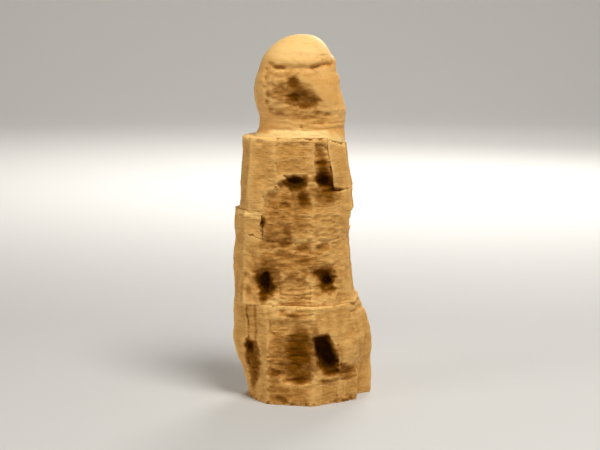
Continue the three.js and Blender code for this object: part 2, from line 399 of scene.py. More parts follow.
    def swells(self, where, amount, size, seed):
        """Soft ups and downs of the surface."""
        self.set_back(where * amount * 0.5 * self.noise(size, seed))

    def crumble(self, where, amount, size, seed):
        """A broken, crumbly surface of small lumps, wider than they are high."""
        self.set_back(where * amount * (0.5 + 0.5 * self.noise((size, size, 0.5 * size), seed)))

    def zone(self, outline, edge, side="front"):
        """How far each point is inside an outline, from 0 to 1 over an edge this many mm wide."""
        flat, _, squarely = self.seen_from(side)
        return smooth_step(depth_inside(flat, outline) / edge + 0.5) * squarely

    def finish(self, wood):
        """Puts the carved skin on the piece, with its stain and painted shade, its wear and painted
        highlights, and its relief: 0 in a crevice, 1 on a ridge.
        """
        mesh = self.piece.data
        mesh.vertices.foreach_set("co", (self.points * MM).ravel())
        mesh.update()
        normals = vectors(mesh.vertices, "normal")
        near = self.averaged(self.points, 8)
        far = self.averaged(near, 60)
        fine = np.sum((self.points - near) * normals, axis=1)
        broad = np.sum((self.points - far) * normals, axis=1) * self.free
        # Painted shade: broad hollows are darkened, on top of the stain. Broad bulges are made paler.
        painted_hollow_shade = np.clip(-broad / 1.6, 0, 1) * 0.5
        rubbed = np.clip(broad / 0.8, 0, 1) * 0.6
        shown = {
            "stain_and_shade": self.averaged(np.maximum(self.stain_and_shade, painted_hollow_shade)[:, None], 8)[:, 0],
            "wear_and_highlight": self.averaged(np.maximum(self.wear_and_highlight, rubbed)[:, None], 2)[:, 0],
            "relief": np.clip(0.5 + fine / 0.4, 0, 1),
        }
        for name, value in shown.items():
            mesh.attributes.new(name, "FLOAT", "POINT").data.foreach_set("value", value.astype(np.float32))
        select_only(self.piece)
        bpy.ops.object.shade_smooth()
        mesh.materials.append(wood)


# ------------------------------------------------------------------------------------------ materials

def linear(colour):
    """An sRGB hex colour as linear red, green, blue and alpha."""
    parts = [int(colour[i:i + 2], 16) / 255 for i in (1, 3, 5)]
    return (*(p / 12.92 if p <= 0.04045 else ((p + 0.055) / 1.055) ** 2.4 for p in parts), 1.0)


# Colours that darken the wood: painted shade in crevices, and stain and painted shade in the hollows, from
# thin to thick.
CREVICE_SHADE = "#8a571c"
THIN_DIRT_AND_SHADE = "#b5731f"
DIRT_AND_SHADE = "#744404"
SOOT_AND_DEEP_SHADE = "#432602"


def add_node(tree, kind, inputs=None, **settings):
    """Adds a node. settings are its own properties, and inputs are values or links for its sockets."""
    made = tree.nodes.new(kind)
    for name, value in settings.items():
        setattr(made, name, value)
    for socket, value in (inputs or {}).items():
        if isinstance(value, bpy.types.NodeSocket):
            tree.links.new(value, made.inputs[socket])
        else:
            made.inputs[socket].default_value = value
    return made


def pale_wood(name, colours, roughness, marks, mark_depth, carved=True):
    """Pale, close-grained, unvarnished wood, its colours given from the pale of wear and painted highlight to
    dark. marks says how strongly the level tool marks and fibres show, and mark_depth is their depth in mm."""
    wear_and_highlight, light, middle, dark = (linear(colour) for colour in colours)
    wood = bpy.data.materials.new(name)
    wood.use_nodes = True
    tree = wood.node_tree
    shader = tree.nodes["Principled BSDF"]
    place = add_node(tree, "ShaderNodeTexCoord").outputs["Object"]

    def pattern(size, detail, rough=0.55):
        """Noise with lumps of this size in mm along x, y and z."""
        scaled = add_node(tree, "ShaderNodeMapping", {"Vector": place, "Scale": [1 / (s * MM) for s in size]})
        settings = {"Vector": scaled.outputs[0], "Scale": 1.0, "Detail": detail, "Roughness": rough}
        return add_node(tree, "ShaderNodeTexNoise", settings).outputs["Fac"]

    def between(value, low, high, low_to=0.0, high_to=1.0):
        limits = {"Value": value, 1: low, 2: high, 3: low_to, 4: high_to}
        return add_node(tree, "ShaderNodeMapRange", limits, interpolation_type="SMOOTHSTEP").outputs[0]

    def mix(share, first, second, blend="MIX"):
        sockets = {0: share, 6: first, 7: second}
        return add_node(tree, "ShaderNodeMix", sockets, data_type="RGBA", blend_type=blend).outputs[2]

    # Soft blotches 10 mm across, then level streaks 5 mm long and 0.9 mm high, and flecks of torn fibre.
    blotches = pattern((10, 10, 6), 3)
    colour = mix(between(blotches, 0.35, 0.65), middle, light)
    streaks = pattern((5, 5, 0.9), 4, 0.65)
    colour = mix(between(streaks, 0.48, 0.75, 0.0, 0.5 * marks), colour, dark)
    flecks = pattern((1.5, 1.5, 0.6), 3, 0.7)
    colour = mix(between(flecks, 0.52, 0.78, 0.0, 0.5 * marks), colour, dark)
    colour = mix(between(flecks, 0.46, 0.28, 0.0, 0.8 * marks), colour, light)

    shader.inputs["Specular IOR Level"].default_value = 0.25
    if carved:
        # Ridges get a painted highlight and crevices painted shade. Wear and painted highlights make the wood
        # pale.
        relief = add_node(tree, "ShaderNodeAttribute", attribute_name="relief").outputs["Fac"]
        colour = mix(between(relief, 0.52, 0.85, 0.0, 0.8 * marks), colour, light)
        colour = mix(between(relief, 0.45, 0.0, 0.0, 0.15), colour, linear(CREVICE_SHADE))
        rubbed = add_node(tree, "ShaderNodeAttribute", attribute_name="wear_and_highlight").outputs["Fac"]
        colour = mix(rubbed, colour, wear_and_highlight)

        # Stain and painted shade lie in the hollows, creases and under ledges: tan where thin, and near black
        # where thick.
        stain_and_shade = add_node(tree, "ShaderNodeAttribute", attribute_name="stain_and_shade").outputs["Fac"]
        patchy = between(pattern((4, 4, 1.6), 3, 0.6), 0.3, 0.7, -0.12, 0.12)
        thick = add_node(tree, "ShaderNodeMath", {0: stain_and_shade, 1: patchy}, operation="ADD").outputs[0]
        colour = mix(between(thick, 0.0, 0.35, 0.0, 0.6), colour, linear(THIN_DIRT_AND_SHADE))
        colour = mix(between(thick, 0.1, 0.7), colour, linear(DIRT_AND_SHADE))
        colour = mix(between(thick, 0.6, 1.0), colour, linear(SOOT_AND_DEEP_SHADE))
        tree.links.new(between(thick, 0.2, 0.7, 0.25, 0.02), shader.inputs["Specular IOR Level"])

    # Fibres 0.45 mm apart catch the light, and fine pores break up the gloss.
    fibres = pattern((2.5, 2.5, 0.45), 3, 0.6)
    pores = pattern((0.6, 0.6, 0.6), 2, 0.6)
    height = add_node(tree, "ShaderNodeMath", {0: fibres, 1: marks, 2: pores}, operation="MULTIPLY_ADD")
    grain = {"Height": height.outputs[0], "Strength": 0.7, "Distance": mark_depth * MM}
    bump = add_node(tree, "ShaderNodeBump", grain)
    tree.links.new(bump.outputs[0], shader.inputs["Normal"])
    tree.links.new(colour, shader.inputs["Base Color"])
    tree.links.new(between(pores, 0.2, 0.8, roughness - 0.08, roughness + 0.12), shader.inputs["Roughness"])
    shader.inputs["IOR"].default_value = 1.5
    return wood


# Rubbed with a scraper: an even, close face with a faint sheen and hardly any tool marks.
RUBBED = ("#f3ca80", "#e6b064", "#dda355", "#bd7f38")
rubbed_wood = pale_wood("rubbed pale wood", RUBBED, roughness=0.55, marks=0.35, mark_depth=0.12)
# Hewn across the fibres: dry and matt, with torn level streaks.
HEWN = ("#f0c274", "#e2ab5e", "#cd954a", "#96611f")
hewn_wood = pale_wood("hewn pale wood", HEWN, roughness=0.75, marks=1.0, mark_depth=0.45)
# Whittled to size: darker, with faint knife marks, hidden in the sockets.
WHITTLED = ("#d8a868", "#cf9f62", "#bf8f54", "#8e6230")
whittled_wood = pale_wood("whittled peg wood", WHITTLED, roughness=0.65, marks=0.6, mark_depth=0.2,
                          carved=False)


# --------------------------------------------------------------------------------------------- pieces

# The right shoulder slopes down from this far out: mm down for each mm across.
SHOULDER_BREAK = 10.5
SHOULDER_SLOPE = 0.36

# The slab's inner edge leans out towards its foot: mm across for each mm down.
SLAB_LEAN = 0.165

# How far the wood goes from the middle of the doll to the left, right, front and back.
HEAD_REACH = (23, 20, 18, 18.5)
TRUNK_REACH = (33.5, 24.5, 20.5, 21)
PEDESTAL_REACH = (33, 32, 23.5, 24)

# How far the outer wood grows to close its joints.
JOINT_SWELL = 0.12

# The edge of the torn patch under the left breast.
TORN_EDGE = [(-10.6, 110.6), (-13.4, 108.4), (-13, 105.6), (-17.4, 105), (-19.2, 101.4)]


def hew(carving, fine_zone, coarse_zone):
    """The marks that all hewn pieces have: soft facets all over, and level tearing where the zones say."""
    carving.scallops(1.0, 0.5, (6, 6, 16), 11)
    carving.swells(1.0, 0.9, (9, 9, 7), 15)
    carving.swells(0.4 + 0.6 * coarse_zone, 0.8, (3.5, 3.5, 2.2), 16)
    carving.layers(0.35 + 0.65 * fine_zone, 0.26, 0.85, 12)
    carving.layers(0.2 + 0.8 * coarse_zone, 0.3, 1.9, 17)
    carving.crumble(0.3 + 0.7 * fine_zone, 0.2, 1.3, 14)


def carve_head():
    piece = blank("head", "carved_head")
    even_skin(piece, 0.42, 0.36)
    head = Carving(piece, HEAD_REACH, core=9.5, dome=160)
    head.swell(JOINT_SWELL)
    head.soften(smooth_step((head.start[:, 2] - 161) / 5), 70)
    head.soften(head.zone([(-12, 162), (11, 162), (11, 140), (-12, 140)], 3), 30)

    # The cap rolls over the brow, with a faint crease above the roll and a deep one under it, both darkened
    # with painted shade.
    for x in (-11, -4, 3, 9):
        head.dent((x, 167.4), (7, 3), -0.6, ragged=0.05)
    head.groove([(-15.6, 165.8), (-13.4, 164.9), (-9.5, 164.3)], 2.0, 1.5, stain_and_shade=0.42)
    head.groove([(-12, 164.4), (-3, 163.7), (4, 163.9), (9, 165.2)], 2.2, 0.7, stain_and_shade=0.14)
    head.groove([(4.5, 164.4), (9, 165.6), (12.8, 166.4)], 1.8, 1.4, stain_and_shade=0.42)
    head.groove([(-10, 170.4), (-3, 170.6), (5, 170.4), (10, 170)], 1.4, 0.35, stain_and_shade=0.06)
    head.dent((9.8, 169.8), (2, 1.2), 0.6)
    for z, half, depth in ((163.6, (16, 9), -1.1), (167.4, (14, 3), -0.5), (162.2, (14, 2), 0.3)):
        head.dent((0, z), half, depth, ragged=0.05, side="right")
    # The right of the cap is darkened, and the crown and the roll of the brow get painted highlights.
    head.darken((10, 169.6), (5, 3), 0.1)
    head.paint_highlight_band(169, 190, 0.7, 7)
    head.paint_highlight([(-11, 168), (9, 168)], 1.4, 0.5)

    # The face is worn away: a three-cornered hollow, its left half broken up into crumbs.
    face = [(-7, 159.5), (-3, 160), (8, 149.5), (7, 146.2), (-1, 144.2), (-9.5, 147)]
    head.press(face, 1.0, edge=5, ragged=1.0)
    head.dent((-4.8, 156.8), (3.4, 3), 0.8)
    head.dent((-5, 149.8), (4, 3.6), 0.7)
    head.dent((5, 148.4), (4, 2.4), 0.9, lean=-30)
    head.dent((-11.5, 153), (5, 4.6), 0.6)
    head.crumble(head.zone([(-17, 157), (-9, 157), (-8, 143.5), (-15.5, 143.5)], 4), 0.4, 1.7, 21)
    head.crumble(head.zone(face, 4), 0.3, 1.5, 22)
    # The hollow is darkened with stain and painted shade.
    dark_face = [(-7.6, 160), (-3, 160), (8.6, 149), (7, 145.6), (-1, 143.8), (-9.6, 147)]
    head.darken_inside(dark_face, 0.54, edge=6)
    head.darken((5, 148.2), (3.6, 1.6), 0.58, lean=-25)
    head.darken((0.4, 152.4), (4, 3.6), 0.42, lean=-40)
    head.darken_ovals(
        ((-4.8, 156.8), (2.8, 2.6), 0.68),
        ((-4.6, 150), (3.6, 3.2), 0.72),
        ((1.2, 146.6), (4, 1.8), 0.68),
        ((-10.8, 153), (4.8, 4.6), 0.36),
        # Painted shade over the left cheek, which is turned from the light.
        ((-12, 155), (7, 6), 0.14),
        ((-20, 152), (5, 9), 0.07),
    )

    # The shade under the brow.
    head.darken_ovals(
        ((-1, 162.4), (9, 1.8), 0.16),
        ((-2, 161.6), (10, 2), 0.1),
        ((-8.5, 161), (8, 1.8), 0.22),
        ((3, 160), (7, 2.2), 0.12),
    )

    # The hairline down the left cheek, pitted along its length, each pit darkened with stain and painted
    # shade, and a bump beside it with a painted highlight.
    hairline = [(-17, 164.4), (-17.7, 159.5), (-17.8, 155), (-16.8, 151), (-17, 147.5), (-15.6, 144.6)]
    head.groove(hairline, 1.8, 0.5)
    for x, z, tall, pit_darkness in (
        (-17.6, 163.4, 1, 0.3), (-17.9, 159.2, 1.4, 0.4), (-18.6, 155, 1, 0.25),
        (-16.8, 151.6, 1.8, 0.45), (-17.4, 148, 1.4, 0.4), (-15.6, 145, 1.2, 0.25),
    ):
        head.dent((x, z), (1.5, 1.2 * tall), 0.4)
        head.darken((x, z), (0.7, 0.8 * tall), pit_darkness)
    for x, z in ((-15.2, 156.8), (-14, 149.6), (-13.2, 146.8)):
        head.dent((x, z), (2, 1.2), 0.5)
    head.paint_highlight([(-16, 148.6), (-14, 147)], 0.8, 0.5)

    # Worn marks where the mouth would be, and the soft shade under them.
    head.press([(-14, 144.4), (-9, 144.4), (-9.2, 141.4), (-13.8, 141.2)], 0.7, edge=2)
    head.groove([(-1.3, 144.5), (-1.2, 140)], 1.2, 0.6, stain_and_shade=0.36)
    head.press([(4.5, 144.2), (13, 143), (12.6, 140.8), (5, 141.2)], 0.5, edge=2)
    head.dent((9, 138.2), (6, 2.4), 0.5)
    head.dent((-0.9, 136), (1.2, 1.4), 0.5)
    head.darken_ovals(
        ((-15.4, 144), (1.6, 1), 0.3),
        ((-11.4, 142.8), (2.6, 1.3), 0.5),
        ((-3.6, 144.8), (5, 2.2), 0.34),
        ((0, 141), (7.5, 1.8), 0.26),
        ((6.8, 143), (2.4, 1), 0.4),
        ((11.4, 142.2), (2, 0.8), 0.36),
        ((8.6, 138.6), (3.6, 1.5), 0.2),
        ((-0.9, 135.6), (0.9, 0.9), 0.4),
    )

    # The lock of hair down the right side.
    head.groove([(15.6, 153), (16.6, 147), (17.2, 141), (16.9, 132)], 1.6, 0.7)
    head.dent((18.8, 142.5), (2.2, 2.8), -0.4)
    head.dent((18.6, 137.6), (2.2, 2), -0.3)

    # The foot of the neck flares out in a broken fold, painted pale as a highlight.
    for x, z, half in ((-12, 132.8, 4), (-3, 133.4, 5), (6, 133, 4)):
        head.dent((x, z), (half, 1.2), -0.4, ragged=0.3)
    head.groove([(-16, 134.8), (-4, 135), (10, 134.8)], 1.6, 0.3, ragged=0.8)
    head.paint_highlight([(-15, 133), (-4, 133.4), (12, 132.4)], 1.9, 1.0)
    head.paint_highlight_band(120, 132.8, 0.9, 1)

    # The back of the head is scraped round, with the ends of a few long cuts left in it.
    cuts = [(-13, 166, 140), (-4, 160, 136), (6, 168, 142), (13, 158, 138)]
    head.long_cuts(cuts, 1, 4.4, 0.5, "back")
    head.groove([(-12, 152), (2, 151)], 1.0, 0.5, stain_and_shade=0.14, side="back")
    head.darken((4, 150), (7, 6), 0.12, side="back")

    # The neck's foot beds into the rim, and follows the slope of the right shoulder.
    across, _, height = head.start.T
    near_foot = smooth_step((134.5 - height) / 3)
    head.draw_down(near_foot, 0.15 + SHOULDER_SLOPE * np.maximum(across - SHOULDER_BREAK, 0))

    neck = head.zone([(-24, 146), (22, 146), (22, 131), (-24, 131)], 5)
    head.rasp(neck, 0.3, (9, 9, 1.3), 23)
    head.rasp(0.4, 0.14, (12, 12, 1.6), 24)
    head.swells(1.0, 0.3, (8, 8, 6), 25)
    head.finish(rubbed_wood)
    return piece


def carve_chest(trunk):
    """Broad facets down the chest, meeting in edges that get painted highlights."""
    trunk.press([(-12.9, 128.4), (5, 128.8), (4.6, 113.2), (-12.9, 113.4)], 0.6, edge=1.0, ragged=0.8)
    trunk.groove([(-12.9, 130), (-12.6, 114)], 1.0, 0.3, stain_and_shade=0.16)
    trunk.darken_inside([(-12.6, 133), (4.6, 133), (4.6, 114), (-12.6, 114)], 0.13, edge=3)
    trunk.darken_ovals(
        ((-4, 121.6), (7, 2.2), 0.16),
        ((-9.6, 126), (3, 1.2), 0.16),
        ((4.4, 122), (1.8, 9), 0.1),
    )
    trunk.dent((-19, 121), (5, 9), 0.5)
    trunk.dent((-19.4, 110.6), (4.4, 4), 0.5)
    trunk.paint_highlight([(-25, 131), (-25, 100)], 0.8, 0.4)
    trunk.paint_highlight([(5.4, 130), (4.8, 114)], 0.7, 0.25)
    trunk.paint_highlight([(11.9, 130.5), (12.6, 124), (13.6, 117)], 0.6, 0.8)


def carve_right_slot(trunk):
    """Stain and painted shade in the broken strip and its slot, and a scratch out of its lower corner."""
    trunk.groove([(12.6, 105.4), (16, 105.9), (19.4, 105.2)], 1.2, 1.1, stain_and_shade=0.6)
    trunk.darken_inside([(5.4, 112.2), (12.6, 112.2), (14, 107.8), (8, 107.2)], 1.0, edge=1.8)
    trunk.darken_inside([(6.4, 120.5), (11.4, 120.5), (13.6, 112), (16, 105), (9.4, 104)], 0.66, edge=3)
    trunk.darken_inside([(5.8, 131), (11.4, 131), (13, 119), (13.6, 110), (6, 112)], 0.2, edge=2)
    trunk.darken((10.4, 116), (2.4, 2.2), 0.6, lean=-20)
    trunk.darken_ovals(
        ((10.6, 126.6), (1.2, 1.6), 0.2),
        ((7.2, 124.4), (1.3, 4.4), 0.34),
        ((8.8, 122.6), (2.2, 0.8), 0.5),
        ((8.8, 119.4), (2.8, 1.3), 0.85),
        ((4.4, 110), (1.6, 7), 0.22),
        ((7, 105), (3.4, 2.6), 0.46),
        ((12.6, 105.6), (4.2, 1.2), 0.85),
        ((17.8, 105.4), (2.2, 0.7), 0.6),
        ((11.6, 102.4), (5.6, 3), 0.54),
        ((10.6, 97.6), (2.4, 2), 0.2),
    )


def carve_left_slot(trunk):
    """A slot under a sharp brow, and the torn patches below and beside it, darkened with stain and painted
    shade, with a painted highlight along the torn edge.
    """
    slot = [(-9.4, 112.9), (1.8, 113.1), (2.2, 109.5), (-1, 105), (-5.6, 105.6)]
    trunk.press(slot, 0.5, edge=1.2, top_depth=2.6)
    torn = [
        (-9.6, 111), (-12.4, 108.8), (-11.4, 105.4), (-16.6, 105.2), (-18.6, 102), (-19.6, 94),
        (-19.6, 91), (-3, 91), (-4, 104), (-8, 109.6),
    ]
    trunk.press(torn, 0.1, edge=1.0, top_depth=2.4)
    trunk.paint_highlight([*TORN_EDGE, (-20, 95)], 0.8, 0.8)
    trunk.press([(-3.8, 106), (2.6, 104.6), (3.8, 96.4), (-0.8, 95.8), (-1.8, 100)], 1.1, edge=2.4)
    trunk.dent((-8.6, 98.4), (3, 2.6), 0.9)
    trunk.dent((-10.4, 108), (1.4, 2), 0.4)
    trunk.darken_inside([(-8.6, 111.8), (1.2, 112), (1.2, 108.2), (-2, 106.8), (-6.4, 107.8)], 1.0, edge=2)
    trunk.darken((-3.8, 109), (5.2, 2.9), 0.95, fade=0.9)
    trunk.darken_inside([(-8, 111.6), (1.6, 111.6), (0.6, 104.6), (-4.4, 104.8)], 0.62, edge=4)
    trunk.darken_inside([(-16.6, 104.6), (-11, 105), (-4, 103), (-2, 95), (-19, 95)], 0.28, edge=2)
    trunk.darken_ovals(
        ((-10.6, 107.6), (1.2, 2), 0.22),
        ((-7.4, 103.2), (1.4, 1.4), 0.25),
        ((-8.5, 102.4), (3.6, 2.2), 0.4),
        ((-8.8, 98.6), (3.4, 2), 0.52),
        ((-0.3, 101.4), (3, 4.6), 0.74),
        ((0.8, 98.6), (4, 1.6), 0.5),
    )


def carve_belt(trunk):
    """The belt line, a ledge with a painted highlight, torn open below, and darkened above and below with
    stain and painted shade.
    """
    trunk.paint_highlight([(-8, 81.2), (4, 81), (19, 82)], 0.7, 0.6)
    trunk.groove([(-20, 81.6), (-13, 80.4)], 1.2, 0.7, stain_and_shade=0.25)
    trunk.groove([(-6.5, 80), (5, 80.6), (19, 81.7)], 1.2, 0.7)
    trunk.dent((-9.4, 80), (4.2, 2.8), 1.1)
    trunk.dent((-7.6, 85.5), (2.2, 5), 0.8)
    trunk.press([(-3.8, 80.2), (3.4, 80.2), (3.6, 75), (-3.6, 75)], 1.0, edge=2.4)
    trunk.dent((9.6, 78), (3.8, 2.8), 0.9)
    trunk.dent((-16, 79), (3.6, 4.6), 0.7)
    trunk.darken_inside([(-18.6, 99), (1.4, 98), (2.6, 88), (-6, 84), (-18.8, 85)], 0.3, edge=6)
    trunk.darken_ovals(
        ((-19.2, 90.4), (1.1, 3.2), 0.75),
        ((-1, 88), (6, 2.4), 0.3),
        ((-13.6, 82.5), (6, 4.6), 0.34),
        ((-8, 83.5), (2.4, 5.6), 0.5),
        ((-20.6, 78.8), (2.6, 2.2), 0.34),
        ((-9.4, 79.2), (3.4, 1.8), 0.58),
        ((-0.4, 77.6), (3.8, 2.2), 0.46),
        ((9.6, 77.8), (3, 1.8), 0.4),
    )
    trunk.dent((-26, 89), (4, 4), 0.5)
    trunk.paint_highlight([(-33, 88), (-26, 90), (-21, 89)], 2.6, 0.3)


def carve_waist(trunk):
    """Two deep pits either side of the belly, darkened with stain and painted shade, with scoops under them
    that slope out to the ledge, and painted highlights on the ledges and facet edges.
    """
    trunk.press([(-20.4, 66), (-11.6, 66), (-11.6, 46), (-20.8, 46)], 0.3, edge=2.4, top_depth=2.2)
    trunk.press([(4, 66), (14, 66), (20, 56), (23, 52), (23, 45), (4, 45)], 0.2, edge=3.4, top_depth=2.4)
    trunk.press([(-11.4, 60), (-8, 63), (1, 63), (3.8, 59), (3.6, 46), (-11.8, 46)], 1.1, edge=1.0)
    for outline in ([(-24, 69), (-13, 69), (-13, 51), (-24, 51)], [(5, 69), (18, 69), (18, 54), (5, 54)]):
        pit = trunk.zone(outline, 3)
        trunk.soften(pit, 16)
        trunk.crumble(pit, 0.8, 1.8, 53)
    trunk.dent((-18.4, 60.4), (5, 9.4), 1.2)
    trunk.dent((11.8, 62), (5.4, 8.6), 1.2, lean=-8)
    trunk.dent((7.6, 65.4), (3, 2), 0.8)
    trunk.level_tears((57, 54.4, 52.2, 50.4))
    trunk.darken((-18.2, 59.8), (3.7, 6.2), 0.88, fade=1.0, ragged=0.55)
    trunk.darken((-19.6, 54), (1.8, 3.6), 0.85, lean=10)
    trunk.darken((-17.6, 64), (6, 9), 0.5, ragged=0.4)
    trunk.darken((12.2, 60.4), (3.9, 5.2), 0.87, lean=-8, fade=1.0, ragged=0.6)
    trunk.darken((11.4, 61.8), (5.2, 6.8), 0.42, ragged=0.4)
    trunk.darken_inside([(-14, 77), (8, 77), (9, 70), (6, 64), (-2, 60), (-9, 61), (-12, 68)], 0.26, edge=6)
    trunk.darken_ovals(
        ((-10.6, 75), (3.2, 1.8), 0.44),
        ((-17, 71.6), (4.6, 3.4), 0.4),
        ((0.6, 71.4), (4, 2), 0.5),
        ((-4, 68.6), (6, 1.6), 0.24),
        ((5.4, 67.4), (2.4, 2.2), 0.4),
        ((8, 65.4), (2.8, 1.8), 0.75),
        ((-6, 63.2), (2.8, 1.8), 0.38),
        ((-27, 57), (1.4, 3.2), 0.36),
        ((-4, 57), (7, 6), 0.16),
        ((17.6, 53), (3.6, 3), 0.24),
        ((-3.8, 49.6), (7, 1.4), 0.36),
    )
    trunk.paint_highlight([(-19.9, 52), (-16, 50.6), (-12.4, 50.4)], 2.4, 0.8)
    trunk.paint_highlight([(5.6, 50.4), (10.7, 51), (15.6, 52.6), (20.4, 55), (23.8, 58)], 2.4, 0.5)
    trunk.paint_highlight([(4.4, 57), (4.2, 48)], 0.7, 0.7)
    trunk.paint_highlight([(-12, 57), (-12.2, 49)], 0.7, 0.5)
    trunk.paint_highlight([(-21.6, 78), (-22, 50)], 0.9, 0.4)
    trunk.dent((0, 49), (16, 4.6), -1.5, side="right")


def carve_left_flank(trunk):
    """Long, shallow knife cuts that run down towards the middle."""
    for low in (50, 57, 64, 71):
        trunk.groove([(-33, low + 14), (-28, low + 6), (-22.4, low)], 3.4, 1.0, ragged=0.6)
    trunk.groove([(-28.6, 64), (-29.8, 58), (-30.8, 51)], 1.4, 0.9, stain_and_shade=0.22)
    trunk.darken((-25, 76), (4, 3), 0.14)


def carve_trunk_back(trunk):
    """The back is plain: long knife cuts down it, two torn patches and a drying crack. So are the sides."""
    cuts = [
        (-17, 128, 92), (-8, 124, 84), (3, 129, 97), (12, 122, 88), (20, 127, 99),
        (-14, 80, 54), (-2, 88, 58), (8, 84, 52), (17, 79, 56),
    ]
    trunk.long_cuts(cuts, 2, 4.2, 0.9, "back")
    trunk.press([(-9, 104), (6, 106), (9, 96), (-4, 92)], 0.7, edge=1.2, side="back")
    trunk.press([(4, 70), (15, 68), (13, 60), (6, 61)], 0.7, edge=1.2, side="back")
    trunk.groove([(-3, 129), (-4.4, 116), (-3.6, 107)], 0.8, 1.0, stain_and_shade=0.5, side="back")
    trunk.darken((0, 99), (7, 5), 0.24, side="back")
    trunk.darken((10, 64), (5, 4), 0.26, side="back")
    cuts = [(-12, 126, 100), (-3, 129, 97), (7, 124, 98), (-9, 78, 56), (1, 82, 54), (10, 77, 58)]
    for side in ("left", "right"):
        trunk.long_cuts(cuts, 1.5, 3.8, 0.5, side)
        trunk.darken((2, 68), (6, 5), 0.16, side=side)


def carve_trunk(piece):
    """The strokes that cross from the torso to its let-in blocks, so each of the three gets them all."""
    trunk = Carving(piece, TRUNK_REACH, core=9.8)
    trunk.swell(JOINT_SWELL)
    trunk.soften(trunk.zone([(-17.4, 98), (17, 98), (17, 92), (-17.4, 92)], 3), 24)
    carve_chest(trunk)
    carve_right_slot(trunk)
    carve_left_slot(trunk)
    carve_belt(trunk)
    carve_waist(trunk)
    carve_left_flank(trunk)
    carve_trunk_back(trunk)
    centre = trunk.zone([(-21, 98), (20, 98), (19, 48), (-14, 48), (-20, 66)], 7)
    chest = trunk.zone([(-14, 131), (6, 131), (9, 95), (-20, 95)], 6)
    hew(trunk, np.maximum(centre, 0.6 * chest), np.maximum(centre, 0.35 * chest))
    trunk.pare((SHOULDER_BREAK, 0, SHOULDER_RIM), (SHOULDER_SLOPE, 0, 1), ragged=0.1)
    trunk.lip(SHOULDER_RIM, 1.5, 41)
    trunk.dent((-20.8, 129), (2.2, 1.6), 0.9)
    trunk.nibble([(-29, 130.4), (13, 130.4), (24, 126)], 18, 1.6, 61)
    trunk.nibble([(11.8, 128), (15.6, 106), (22, 105.6)], 6, 0.9, 62)
    trunk.nibble([(-34, 95), (-20, 94.6)], 4, 0.9, 63)
    trunk.nibble([(-19.9, 94), (-19.9, 82)], 9, 1.4, 64)
    trunk.nibble([(-32, 85.6), (-19.9, 81.4)], 7, 1.0, 65)
    trunk.nibble([(-26, 49.4), (26, 49.4)], 14, 1.3, 66)
    trunk.nibble(TORN_EDGE, 10, 1.2, 67)
    trunk.nibble([(-8, 81.4), (19, 81.8)], 12, 1.2, 68)
    # The top of the rim gets a painted highlight.
    trunk.paint_highlight_band(129.4, 140, 0.9, 1.4)
    return trunk


def carve_torso():
    piece = blank("torso", "carved_torso")
    even_skin(piece, 0.56, 0.36)
    torso = carve_trunk(piece)

    # The wood beside the slab is broken away below its face, from the rim down to a deep slot.
    broken = [(5.8, 129), (11, 127.4), (15, 128), (17, 119), (18, 104.6), (9, 104.4), (5.4, 113)]
    torso.press(broken, 2.1, edge=0.8, ragged=0.8, top_depth=1.2)
    torso.press([(6.4, 114), (17, 114), (18, 107), (8.4, 106.8)], 2.0, edge=1.6)
    strip = torso.zone([(6, 128), (13, 128), (16, 112), (6, 112)], 1.5)
    torso.swells(strip, 1.8, (2.6, 2.6, 2), 51)
    torso.crumble(strip, 0.8, 1.6, 52)
    torso.chip_edge(SHOULDER_RIM, 30, 1.5, 31)
    torso.chip_edge(SHOULDER_RIM, 12, 2.6, 32, 0, 200)
    torso.finish(hewn_wood)
    return piece


def carve_elbow_block():
    piece = blank("left_elbow_block", "carved_elbow_block")
    even_skin(piece, 0.3, 0.3)
    block = carve_trunk(piece)
    ledge = block.zone([(-36, 97), (-18, 97), (-18, 91.8), (-36, 91.8)], 1.6)
    block.crumble(ledge, 0.9, 1.8, 55)
    block.chip_edge(ELBOW_TOP, 10, 1.0, 33, 150, 260)
    # The top of the ledge gets a painted highlight.
    block.paint_highlight([(-34, 94.2), (-26, 93.8), (-20, 93)], 1.9, 1.0)
    block.darken((-19.4, 90.4), (0.8, 3), 0.8)
    block.finish(hewn_wood)
    return piece


def carve_shoulder_slab():
    piece = blank("right_shoulder_slab", "carved_shoulder_slab")
    even_skin(piece, 0.4, 0.34)
    slab = carve_trunk(piece)

    # Its leaning inner edge laps tight over the strip beside it.
    overlap, overlap_width = 0.45, 1.2
    across, _, height = slab.start.T
    inside = across - SLAB_INNER - SLAB_LEAN * (SHOULDER_RIM - height)
    slab.points[:, 0] -= overlap * smooth_step(1 - inside / overlap_width)
    # Its top edge gets a painted highlight.
    slab.paint_highlight([(12, 129.6), (17, 128.4), (24, 126)], 1.6, 1.0)
    slab.chip_edge(SHOULDER_RIM, 10, 1.4, 34, 270, 400)
    slab.finish(hewn_wood)
    return piece


